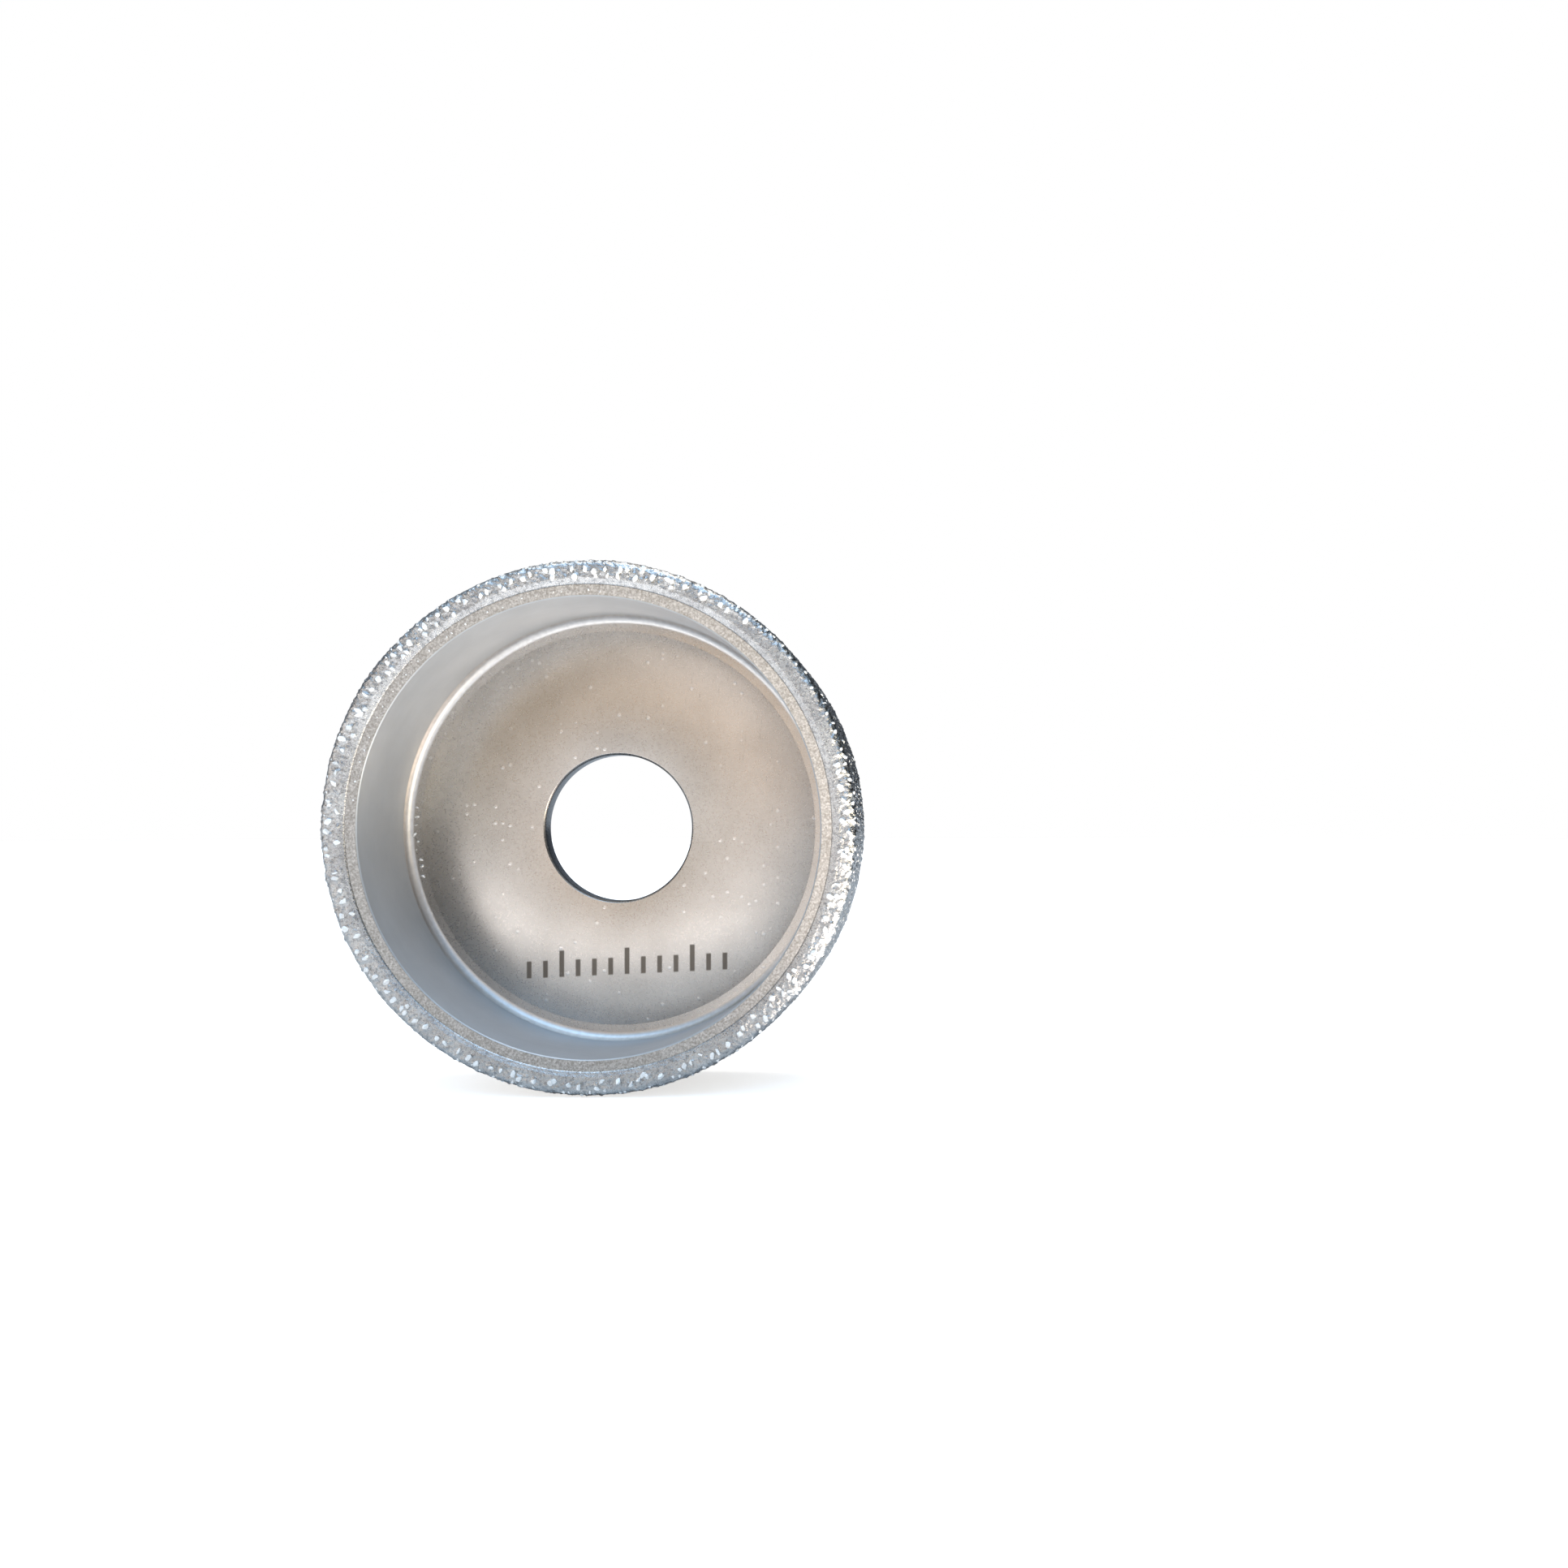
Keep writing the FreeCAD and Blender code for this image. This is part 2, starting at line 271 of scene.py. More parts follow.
def on_coat(around, across, lift):
    """Points on the coat's even surface, that much above the steel, and the way out there."""
    angle = around / ROUND_LENGTH * TAU
    radius, along, out_r, out_y = steel_at(across)
    r, y = radius + out_r * lift, along + out_y * lift
    points = np.stack([np.sin(angle) * r, y, np.cos(angle) * r], axis=-1)
    return points, np.stack([np.sin(angle) * out_r, out_y, np.cos(angle) * out_r], axis=-1)


CRYSTAL_NODES = (
    "crystals_lip",
    "crystals_front_edge",
    "crystals_outside",
    "crystals_back_edge",
)

# A CAD crystal is packed as this many corners.
PACKED_CORNERS = 24

# How far a crystal may move from its CAD place, and how near it comes to the coat's two ends.
MOVE_AROUND, MOVE_ACROSS = 0.6, 0.45
FROM_TOE, FROM_BACK = 0.3, 0.6


def crystal_places():
    """Where each CAD crystal stands on the coat, by node, moved a little from its row."""
    places = {}
    for seed, node in enumerate(CRYSTAL_NODES):
        chance = np.random.default_rng(seed)
        centres = node_points(node).reshape(-1, PACKED_CORNERS, 3).mean(1)
        around, across = coat_coordinates(centres)
        around = around + chance.uniform(-MOVE_AROUND, MOVE_AROUND, len(around))
        across = across + chance.uniform(-MOVE_ACROSS, MOVE_ACROSS, len(across))
        across = np.clip(across, FROM_TOE, ACROSS_LENGTH - FROM_BACK)
        places[node] = (around % ROUND_LENGTH, across)
    return places


CRYSTALS = crystal_places()

# A mound's lean off the way round, as a mean and a spread in degrees, its length and its width as
# shares of its size, how steep its sides are, and how much it adds to a higher one beside it.
MOUND_LEAN = (28, 22)
MOUND_LONG, MOUND_SHORT = (0.85, 1.45), (0.55, 0.85)
MOUND_STEEPNESS = 1.15
MOUND_SHARED = 0.25

# The mounds' peak, size and spread in height, for grains buried in the coat and for crystals. The
# crystals' peaks are in the order of their nodes.
BURIED_COUNT = 5200
BURIED_PEAK, BURIED_SIZE, BURIED_SPREAD = 0.11, 0.26, 0.5
CRYSTAL_PEAKS = (0.13, 0.06, 0.07, 0.07)
CRYSTAL_SIZE, CRYSTAL_SPREAD = 0.42, 0.4

# Where the grit begins, from the coat's inner toe, and where it begins later: at which angle,
# within how many degrees, and by how much. Its start is ragged by the last amount.
GRIT_START = 0.55
GRIT_LATER = ((55, 32, 1.5), (185, 40, 0.45))
GRIT_RAGGED = 0.14

# The coat's relief as layers of noise: whether it is folded into creases, its height, its seed,
# its pitch around and across, and the turns that slant it.
RELIEF = (
    (False, 0.035, 5, 4.0, 3.0, 0),
    (True, 0.075, 7, 1.7, 0.5, 7),
    (True, 0.045, 11, 0.9, 0.6, -4),
    (False, 0.045, 13, 0.45, 0.36, 5),
    (False, 0.022, 17, 0.24, 0.22, 0),
)

# The coat's least height over the steel, and how far its inside lies in the steel.
LEAST_HEIGHT = 0.012
SUNK_INSIDE = 0.01


def add_mounds(height, around_step, across_step, places, seed, peak, size, spread):
    """Raises the coat round each place in a mound that leans along the grain."""
    chance = np.random.default_rng(seed)
    reach_u, reach_v = int(3 * size / around_step) + 1, int(3 * size / across_step) + 1
    du, dv = np.meshgrid(
        np.arange(-reach_u, reach_u + 1), np.arange(-reach_v, reach_v + 1), indexing="ij"
    )
    for around, across in zip(*places):
        lean = math.radians(chance.normal(*MOUND_LEAN))
        long, short = size * chance.uniform(*MOUND_LONG), size * chance.uniform(*MOUND_SHORT)
        lift = peak * (1 + spread * chance.uniform(-1, 1))
        iu, iv = round(around / around_step), round(across / across_step)
        x = (iu + du) * around_step - around
        y = (iv + dv) * across_step - across
        p = (x * math.cos(lean) + y * math.sin(lean)) / long
        q = (y * math.cos(lean) - x * math.sin(lean)) / short
        mound = lift * np.exp(-((p * p + q * q) ** MOUND_STEEPNESS))
        rows, columns = (iu + du) % height.shape[0], iv + dv
        inside = (columns >= 0) & (columns < height.shape[1])
        rows, columns, mound = rows[inside], columns[inside], mound[inside]
        before = height[rows, columns]
        height[rows, columns] = np.maximum(before, mound) + MOUND_SHARED * np.minimum(before, mound)


def grit_start(around):
    """How far from the coat's inner toe the grit begins. It is furthest at the upper right."""
    angle = around / ROUND_LENGTH * TAU
    start = GRIT_START
    for middle, within, later in GRIT_LATER:
        off = (angle - math.radians(middle)) / math.radians(within)
        start = start + later * np.exp(-(off**2))
    return start + GRIT_RAGGED * surface_noise(41, around, 0 * around, 2.2, 5)


def coat_height(around, across):
    """How far the coat's surface stands out of its even thickness."""
    warped = across + 0.5 * surface_noise(3, around, across, 3.1, 2.9)
    height = np.zeros_like(around)
    for creased, lift, seed, pitch_around, pitch_across, turns in RELIEF:
        place = warped if creased else across
        layer = surface_noise(seed, around, place, pitch_around, pitch_across, turns)
        if creased:
            layer = (1 - np.abs(layer)) ** 2 - 0.4
        height += lift * layer
    return height


def make_coat(material):
    """The coat as one closed shell: a rough outside, and an inside that lies on the steel."""
    around_step, across_step = ROUND_LENGTH / COAT_AROUND, ACROSS_LENGTH / (COAT_ACROSS - 1)
    around, across = np.meshgrid(
        np.arange(COAT_AROUND) * around_step, np.arange(COAT_ACROSS) * across_step, indexing="ij"
    )
    mounds = np.zeros_like(around)
    chance = np.random.default_rng(23)
    steps = (around_step, across_step)
    buried = chance.uniform(0, 1, (2, BURIED_COUNT)) * [[ROUND_LENGTH], [ACROSS_LENGTH]]
    add_mounds(mounds, *steps, buried, 29, BURIED_PEAK, BURIED_SIZE, BURIED_SPREAD)
    for seed, peak, places in zip(range(31, 35), CRYSTAL_PEAKS, CRYSTALS.values()):
        add_mounds(mounds, *steps, places, seed, peak, CRYSTAL_SIZE, CRYSTAL_SPREAD)
    start = grit_start(around)
    calm = smooth(ACROSS_LENGTH - 1.0, ACROSS_LENGTH - 0.2, across)
    rough = smooth(start, start + 0.5, across) * (1 - 0.85 * calm)
    fade_in = 0.06 + 0.34 * smooth(0, 0.12, across) + 0.6 * smooth(0.1, 1.0, across)
    fade_out = 1 - smooth(ACROSS_LENGTH - 0.9, ACROSS_LENGTH, across)
    body = (COAT_THICKNESS + 0.03) * fade_in * fade_out
    ripple = 0.02 * surface_noise(47, around, across, 2.5, 1.2) * fade_in
    height = body + ripple + rough * (coat_height(around, across) + mounds - 0.03)
    height = np.maximum(height, LEAST_HEIGHT)
    inner_across = np.tile(np.linspace(0, ACROSS_LENGTH, INNER_ACROSS), (COAT_AROUND, 1))
    outside = on_coat(around, across, height)[0]
    inside = on_coat(around[:, :1], inner_across, -SUNK_INSIDE)[0][:, ::-1]
    points = np.concatenate([outside, inside], axis=1)
    rows = points.shape[1]
    i, j = np.meshgrid(np.arange(COAT_AROUND), np.arange(rows), indexing="ij")
    ahead, after = (i + 1) % COAT_AROUND, (j + 1) % rows
    quads = np.stack(
        [i * rows + j, ahead * rows + j, ahead * rows + after, i * rows + after], axis=-1
    ).reshape(-1, 4)
    points = points.reshape(-1, 3)
    return mesh_piece("braze_coat_rough", points, [quads], material, "braze_coat", smooth_angle=75)


# ---------------------------------------------------------------- crystals and beads

# A stone's tilt either way and the spread of its turn on the coat, in radians.
STONE_TILT, STONE_TURN = 0.35, 0.5

# The crystals' shapes: how many, from how many points, and their length, width and height.
CRYSTAL_SHAPES, CRYSTAL_POINTS = 24, 16
CRYSTAL_LENGTH, CRYSTAL_WIDTH, CRYSTAL_HEIGHT = 1.2, (0.65, 0.95), 0.52

# The crystals' looks in the order of their nodes: the seed, how far they are lifted off the even
# coat, the share of their size that is sunk, and the range of their sizes.
CRYSTAL_LOOKS = (
    (71, 0.17, 0.15, (0.38, 0.58)),
    (72, 0.03, 0.45, (0.28, 0.4)),
    (73, 0.0, 0.6, (0.24, 0.36)),
    (74, 0.0, 0.7, (0.24, 0.36)),
)

# How far past the grit's start a crystal may stand, how much deeper it is sunk at the wheel's
# left, and by how much its depth varies.
PAST_START = 0.3
SUNK_AT_LEFT = 0.45
SUNK_SPREAD = 0.1


def hull_shape(chance, points, squash):
    """A faceted stone: the hull of points near a squashed ball, as vertices and triangles."""
    made = bmesh.new()
    directions = chance.normal(size=(points, 3))
    directions /= np.linalg.norm(directions, axis=1)[:, None]
    for d in directions * chance.uniform(0.86, 1.0, (points, 1)) * squash:
        made.verts.new(d)
    bmesh.ops.convex_hull(made, input=made.verts)
    loose = [v for v in made.verts if not v.link_faces]
    bmesh.ops.delete(made, geom=loose, context="VERTS")
    bmesh.ops.triangulate(made, faces=made.faces)
    bmesh.ops.recalc_face_normals(made, faces=made.faces)
    made.verts.index_update()
    vertices = np.array([v.co for v in made.verts])
    triangles = np.array([[v.index for v in f.verts] for f in made.faces])
    made.free()
    return vertices, triangles


def scatter(name, node, places, shapes, sizes, sink, material, seed, smooth_angle=None):
    """Shapes on the places, most of them long along the coat, each sunk by a share of its size."""
    chance = np.random.default_rng(seed)
    points, faces, count = [], [], 0
    sink = np.broadcast_to(sink, len(places[0]))
    for foot, out, along, sunk in zip(*places, sink):
        vertices, triangles = shapes[chance.integers(len(shapes))]
        size = chance.uniform(*sizes)
        facing = np.stack([along, np.cross(out, along), out], axis=1)
        tilts = chance.uniform(-STONE_TILT, STONE_TILT, 2)
        turn = facing @ np.array(Euler((*tilts, chance.normal(0, STONE_TURN))).to_matrix())
        points.append(vertices @ turn.T * size + foot + out * size * (0.5 - sunk))
        faces.append(triangles + count)
        count += len(vertices)
    points, faces = np.concatenate(points), [np.concatenate(faces)]
    return mesh_piece(name, points, faces, material, node, smooth_angle)


def make_crystals(material):
    """The crystals of each node, as stones that stand on the coat."""
    chance = np.random.default_rng(61)
    shapes = []
    for _ in range(CRYSTAL_SHAPES):
        squash = np.array([CRYSTAL_LENGTH, chance.uniform(*CRYSTAL_WIDTH), CRYSTAL_HEIGHT])
        shapes.append(hull_shape(chance, CRYSTAL_POINTS, squash))
    for (seed, lift, sink, sizes), (node, place) in zip(CRYSTAL_LOOKS, CRYSTALS.items()):
        around, across = place
        kept = across > grit_start(around) + PAST_START
        around, across = around[kept], across[kept]
        at_left = 0.5 - 0.5 * np.sin(around / ROUND_LENGTH * TAU)
        spread = chance.uniform(-SUNK_SPREAD, SUNK_SPREAD, len(around))
        sunk = sink + SUNK_AT_LEFT * at_left**2 + spread
        foot, out = on_coat(around, across, COAT_THICKNESS + lift)
        along = on_coat(around, across + 0.01, COAT_THICKNESS + lift)[0] - foot
        along /= np.linalg.norm(along, axis=1)[:, None]
        places = (foot, out, along)
        scatter(node + "_stones", node, places, shapes, sizes, sunk, material, seed)


def foot_places(node, out):
    """Where a node's separate solids stand: the middle of each one's lowest points along out."""
    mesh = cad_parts[node].data
    made = bmesh.new()
    made.from_mesh(mesh)
    bmesh.ops.remove_doubles(made, verts=made.verts, dist=1e-6)
    seen, places = set(), []
    for start in made.verts:
        if start in seen:
            continue
        group, stack = [], [start]
        seen.add(start)
        while stack:
            vertex = stack.pop()
            group.append(vertex.co / MM)
            for edge in vertex.link_edges:
                other = edge.other_vert(vertex)
                if other not in seen:
                    seen.add(other)
                    stack.append(other)
        depth = [p.dot(out) for p in group]
        foot = sum(group, Vector()) / len(group)
        foot += out * (min(depth) - foot.dot(out))
        places.append(foot)
    made.free()
    return np.array(places)


def on_floor(feet, out):
    """The feet with the way out there, and the way from the axis."""
    away = feet * (1, 0, 1) / np.hypot(feet[:, 0], feet[:, 2])[:, None]
    return feet, np.tile(out, (len(feet), 1)), away


def make_strays(material):
    """The small crystals caught on the lip's bare steel."""
    out = Vector((0, -1, 0))
    feet = foot_places("stray_crystals", out)
    chance = np.random.default_rng(83)
    shapes = [hull_shape(chance, 12, np.array([1.0, 0.75, 0.8])) for _ in range(8)]
    places = on_floor(feet, out)
    scatter("stray_stones", "stray_crystals", places, shapes, (0.13, 0.24), 0.3, material, 89)


def make_beads(material):
    """Ragged drops of braze that run out of the fillet onto the floor."""
    out = Vector((0, -1, 0))
    feet = foot_places("braze_beads", out)
    chance = np.random.default_rng(97)
    reach = 1 + chance.uniform(0.2, 0.8, len(feet)) / SEAT_RADIUS
    feet[:, [0, 2]] *= reach[:, None]
    shapes = [hull_shape(chance, 16, np.array([1.0, 0.6, 0.6])) for _ in range(6)]
    places = on_floor(feet, out)
    scatter("joint_beads", "braze_beads", places, shapes, (0.25, 0.5), 0.55, material, 101, 60)


# ---------------------------------------------------------------- turned pieces


def make_disc(material):
    """The web's disc with the bore, and a step round its seat that the braze fills."""
    ledge = FLOOR + SEAT_STEP
    profile = [
        (BORE_RADIUS, -BORE_CHAMFER),
        (BORE_RADIUS, FLOOR + BORE_CHAMFER),
        (BORE_RADIUS + BORE_CHAMFER, FLOOR),
        (SEAT_RADIUS, FLOOR),
        (SEAT_RADIUS, ledge),
        (DISC_RADIUS, ledge),
        (DISC_RADIUS, 0),
        (BORE_RADIUS + BORE_CHAMFER, 0),
    ]
    return lathe("web_disc_faced", rounded(profile), material, "web_disc")


def make_ring(material):
    """The rim's ring with the cup's wall and its two rounded edges."""
    profile = [
        (CUP_RADIUS, FLOOR),
        (CUP_RADIUS, CORE_LIP + CUP_CHAMFER),
        (CUP_RADIUS + CUP_CHAMFER, CORE_LIP),
        *arc(FRONT_CENTRE, FRONT_EDGE, -90, 0, 12),
        *arc(BACK_CENTRE, BACK_EDGE, 0, 90, 12),
        (REBATE_RADIUS, 0),
        (REBATE_RADIUS, FLOOR),
    ]
    return lathe("rim_ring_turned", rounded(profile), material, "rim_ring")


def make_joint(material):
    """The braze between the disc and the ring, with the fillet in the cup's corner."""
    ledge = FLOOR + SEAT_STEP
    toe = CUP_RADIUS - FILLET_RADIUS
    profile = [
        (SEAT_RADIUS, ledge),
        (SEAT_RADIUS, FLOOR),
        (toe, FLOOR),
        *arc((toe, FILLET_TOP), FILLET_RADIUS, 90, 0, 16)[1:],
        (CUP_RADIUS, FLOOR),
        (REBATE_RADIUS, FLOOR),
        (REBATE_RADIUS, 0),
        (DISC_RADIUS, 0),
        (DISC_RADIUS, ledge),
    ]
    return lathe("web_braze_fillet", profile, material, "web_braze")


# ---------------------------------------------------------------- materials


class Shader:
    """A node material with short calls for the nodes used here."""

    def __init__(self, name, **sockets):
        self.material = bpy.data.materials.new(name)
        self.material.use_nodes = True
        self.tree = self.material.node_tree
        self.surface = self.tree.nodes["Principled BSDF"]
        for socket, amount in sockets.items():
            self.surface.inputs[socket.replace("_", " ")].default_value = amount
        place = self.tree.nodes.new("ShaderNodeTexCoord")
        self.place = place.outputs["Object"]

    def node(self, kind, settings=None, **inputs):
        made = self.tree.nodes.new(kind)
        for key, setting in (settings or {}).items():
            setattr(made, key, setting)
        for key, source in inputs.items():
            slot = int(key[1:]) if key[1:].isdigit() else key.replace("_", " ")
            socket = made.inputs[slot]
            if isinstance(source, bpy.types.NodeSocket):
                self.tree.links.new(source, socket)
            else:
                socket.default_value = source
        return made

    def math(self, operation, a, b=0.0, c=0.0):
        return self.node("ShaderNodeMath", {"operation": operation}, i0=a, i1=b, i2=c).outputs[0]

    def radius(self):
        """The distance from the spin axis, in millimetres."""
        kind = "ShaderNodeVectorMath"
        flat = (1 / MM, 0, 1 / MM)
        made = self.node(kind, {"operation": "MULTIPLY"}, i0=self.place, i1=flat)
        made = self.node(kind, {"operation": "LENGTH"}, i0=made.outputs[0])
        return made.outputs["Value"]

    def stretched(self, scale, turn=(0, 0, 0)):
        made = self.node("ShaderNodeMapping", Vector=self.place, Scale=scale, Rotation=turn)
        return made.outputs[0]

    def noise(self, size, detail=3.0, roughness=0.55, place=None):
        """Noise whose features are about size millimetres wide."""
        made = self.node(
            "ShaderNodeTexNoise",
            Vector=place or self.place,
            Scale=1 / (size * MM),
            Detail=detail,
            Roughness=roughness,
        )
        return made.outputs["Fac"]

    def ramp(self, factor, stops):
        made = self.node("ShaderNodeValToRGB", Fac=factor)
        elements = made.color_ramp.elements
        while len(elements) < len(stops):
            elements.new(0.5)
        for element, (position, colour) in zip(elements, stops):
            element.position = position
            element.color = (*colour, 1)
        return made.outputs["Color"]

    def range(self, factor, low, high, to_low, to_high):
        made = self.node("ShaderNodeMapRange", Value=factor)
        sockets = ("From Min", "From Max", "To Min", "To Max")
        for socket, amount in zip(sockets, (low, high, to_low, to_high)):
            made.inputs[socket].default_value = amount
        return made.outputs[0]

    def mix(self, factor, a, b):
        made = self.tree.nodes.new("ShaderNodeMix")
        made.data_type = "RGBA"
        for socket, source in (("Factor_Float", factor), ("A_Color", a), ("B_Color", b)):
            target = next(s for s in made.inputs if s.identifier == socket)
            if isinstance(source, bpy.types.NodeSocket):
                self.tree.links.new(source, target)
            else:
                target.default_value = source if isinstance(source, float) else (*source, 1)
        return next(s for s in made.outputs if s.identifier == "Result_Color")

    def bump(self, height, distance, before=None):
        """A bump whose full height is the distance in millimetres."""
        inputs = {"Height": height, "Distance": distance * MM, "Strength": 1.0}
        if before is not None:
            inputs["Normal"] = before
        return self.node("ShaderNodeBump", **inputs).outputs[0]

    def set(self, socket, source):
        self.tree.links.new(source, self.surface.inputs[socket])


def speckle(shader, size, share):
    """Small round specks: 1 on about the share of cells, 0 elsewhere."""
    cells = shader.node("ShaderNodeTexVoronoi", Vector=shader.place, Scale=1 / (size * MM))
    near = shader.range(cells.outputs["Distance"], 0.16, 0.3, 1.0, 0.0)
    pick = shader.node("ShaderNodeSeparateColor", Color=cells.outputs["Color"])
    chosen = shader.range(pick.outputs[0], share, share + 0.01, 1.0, 0.0)
    return shader.math("MULTIPLY", near, chosen)


def scratches(shader, turn, width, length, keep):
    """Fine straight scratches in one direction: 1 on a scratch."""
    place = shader.stretched((1 / width, 1, 1 / length), (0, math.radians(turn), 0))
    fine = shader.node("ShaderNodeTexNoise", Vector=place, Scale=1 / MM, Detail=1.0)
    return shader.range(fine.outputs["Fac"], keep, keep + 0.06, 0.0, 1.0)


def faced_steel(shader):
    """Satin steel with fine specks and faint scratches: its colour, roughness and bump."""
    cloud = shader.noise(9.0, 4.0)
    grain = shader.noise(0.35, 3.0, 0.7)
    colour = shader.ramp(cloud, [(0.3, (0.47, 0.425, 0.38)), (0.7, (0.56, 0.51, 0.46))])
    colour = shader.mix(shader.range(grain, 0.35, 0.7, 0.0, 0.15), colour, (0.66, 0.61, 0.56))
    specks = speckle(shader, 1.1, 0.1)
    colour = shader.mix(shader.math("MULTIPLY", specks, 0.4), colour, (0.86, 0.83, 0.8))
    lines = shader.math(
        "MAXIMUM", scratches(shader, 62, 0.1, 3.2, 0.70), scratches(shader, -25, 0.09, 2.4, 0.72)
    )
    roughness = shader.range(grain, 0.3, 0.7, 0.26, 0.3)
    relief = shader.bump(grain, 0.001)
    relief = shader.bump(lines, 0.004, relief)
    relief = shader.bump(specks, 0.012, relief)
    return colour, roughness, relief


def web_steel():
    """The web's faced steel, with a row of etched bars and painted shade: a dark ring round the
    bore's edge.
    """
    shader = Shader("web_steel", Metallic=1.0)
    colour, roughness, relief = faced_steel(shader)
    bars = etched_bars(shader)
    colour = shader.mix(shader.math("MULTIPLY", bars, 0.85), colour, (0.16, 0.13, 0.1))
    # Painted shade: a dark ring on the floor's edge and chamfer round the bore.
    cut = shader.range(shader.radius(), BORE_RADIUS + 0.02, BORE_RADIUS + 0.3, 1.0, 0.0)
    colour = shader.mix(cut, colour, (0.12, 0.12, 0.12))
    shader.set("Base Color", colour)
    shader.set("Roughness", shader.math("MULTIPLY_ADD", bars, 0.3, roughness))
    shader.set("Normal", relief)
    return shader.material


# The row of etched bars on the cup's floor, in millimetres: it stands for the wheel's marking.
BARS_CENTRE, BARS_SLOPE = (1.3, -20.2), math.radians(2.6)
BARS_PITCH, BARS_COUNT, BARS_HEIGHT, BARS_WIDTH = 2.48, 13, 4.0, 0.34


def etched_bars(shader):
    """1 on a plain row of upright bars under the bore, every fourth one longer, else 0.
    They are only on the front."""
    parts = shader.node("ShaderNodeSeparateXYZ", Vector=shader.place)
    across = shader.math("MULTIPLY_ADD", parts.outputs[0], 1 / MM, -BARS_CENTRE[0])
    up = shader.math("MULTIPLY_ADD", parts.outputs[2], 1 / MM, -BARS_CENTRE[1])
    up = shader.math("SUBTRACT", up, shader.math("MULTIPLY", across, math.tan(BARS_SLOPE)))
    place = shader.math("DIVIDE", across, BARS_PITCH)
    number = shader.math("ROUND", place)
    off = shader.math("ABSOLUTE", shader.math("SUBTRACT", place, number))
    solid, gone = (BARS_WIDTH - 0.06) / BARS_PITCH, (BARS_WIDTH + 0.1) / BARS_PITCH
    bar = shader.range(off, solid, gone, 1.0, 0.0)
    inside = shader.math("LESS_THAN", shader.math("ABSOLUTE", number), BARS_COUNT / 2)
    long = shader.math("PINGPONG", shader.math("ADD", number, 2.0), 2.0)
    half = shader.range(long, 1.5, 1.6, 0.32 * BARS_HEIGHT, 0.5 * BARS_HEIGHT)
    foot = shader.math("ADD", up, 0.5 * BARS_HEIGHT)
    top = shader.math("SUBTRACT", foot, shader.math("MULTIPLY", half, 2.0))
    above = shader.range(foot, -0.1, 0.1, 0.0, 1.0)
    below = shader.range(top, -0.1, 0.1, 1.0, 0.0)
    mark = shader.math("MULTIPLY", bar, inside)
    mark = shader.math("MULTIPLY", mark, above)
    mark = shader.math("MULTIPLY", mark, below)
    in_front = shader.math("LESS_THAN", parts.outputs[1], 0.5 * FLOOR * MM)
    return shader.math("MULTIPLY", mark, in_front)


def ring_steel():
    """Turned steel: fine lines round the wall, and a blasted, sandy look on the lip."""
    shader = Shader("ring_steel", Metallic=0.35)
    parts = shader.node("ShaderNodeSeparateXYZ", Vector=shader.place)
    lip = shader.range(parts.outputs[1], (CORE_LIP + 0.06) * MM, (CORE_LIP + 0.02) * MM, 0.0, 1.0)
    turned = shader.noise(0.22, 2.0, 0.6, shader.stretched((0.02, 1, 0.02)))
    sand = shader.noise(0.3, 3.0, 0.75)
    cloud = shader.noise(6.0, 3.0)
    wall = shader.ramp(cloud, [(0.3, (0.46, 0.48, 0.50)), (0.7, (0.51, 0.53, 0.55))])
    bare = shader.ramp(
        sand, [(0.35, (0.30, 0.27, 0.23)), (0.5, (0.43, 0.39, 0.35)), (0.68, (0.66, 0.62, 0.57))]
    )
    shader.set("Base Color", shader.mix(lip, wall, bare))
    smooth_wall = shader.range(turned, 0.3, 0.7, 0.36, 0.44)
    shader.set("Roughness", shader.math("MULTIPLY_ADD", lip, 0.05, smooth_wall))
    relief = shader.bump(turned, 0.002)
    relief = shader.bump(shader.math("MULTIPLY", sand, lip), 0.07, relief)
    shader.set("Normal", relief)
    return shader.material


def joint_braze():
    """The braze of the fillet, with a painted highlight: a lighter colour over the fillet's curve.
    Inside the fillet it is faced off with the web.
    """
    shader = Shader("joint_braze", Metallic=1.0)
    colour, roughness, relief = faced_steel(shader)
    # Painted highlight: over the fillet's curve the colour turns lighter, standing in for the
    # bright line there.
    start, full = CUP_RADIUS - FILLET_RADIUS, CUP_RADIUS - 0.7 * FILLET_RADIUS
    fillet = shader.range(shader.radius(), start, full, 0.0, 1.0)
    ripple = shader.noise(0.8, 3.0)
    bright = shader.ramp(ripple, [(0.3, (0.62, 0.60, 0.58)), (0.7, (0.72, 0.70, 0.68))])
    shader.set("Base Color", shader.mix(fillet, colour, bright))
    shader.set("Roughness", shader.math("MULTIPLY_ADD", fillet, 0.18, roughness))
    shader.set("Normal", shader.bump(shader.noise(0.5, 3.0), 0.006, relief))
    return shader.material


def bead_braze():
    """The small beads of braze beside the fillet, brighter than the web."""
    shader = Shader("bead_braze", Metallic=0.7)
    ripple = shader.noise(0.3, 2.0)
    colour = shader.ramp(ripple, [(0.3, (0.86, 0.84, 0.8)), (0.7, (0.95, 0.93, 0.9))])
    shader.set("Base Color", colour)
    shader.set("Roughness", shader.range(ripple, 0.3, 0.7, 0.2, 0.4))
    return shader.material


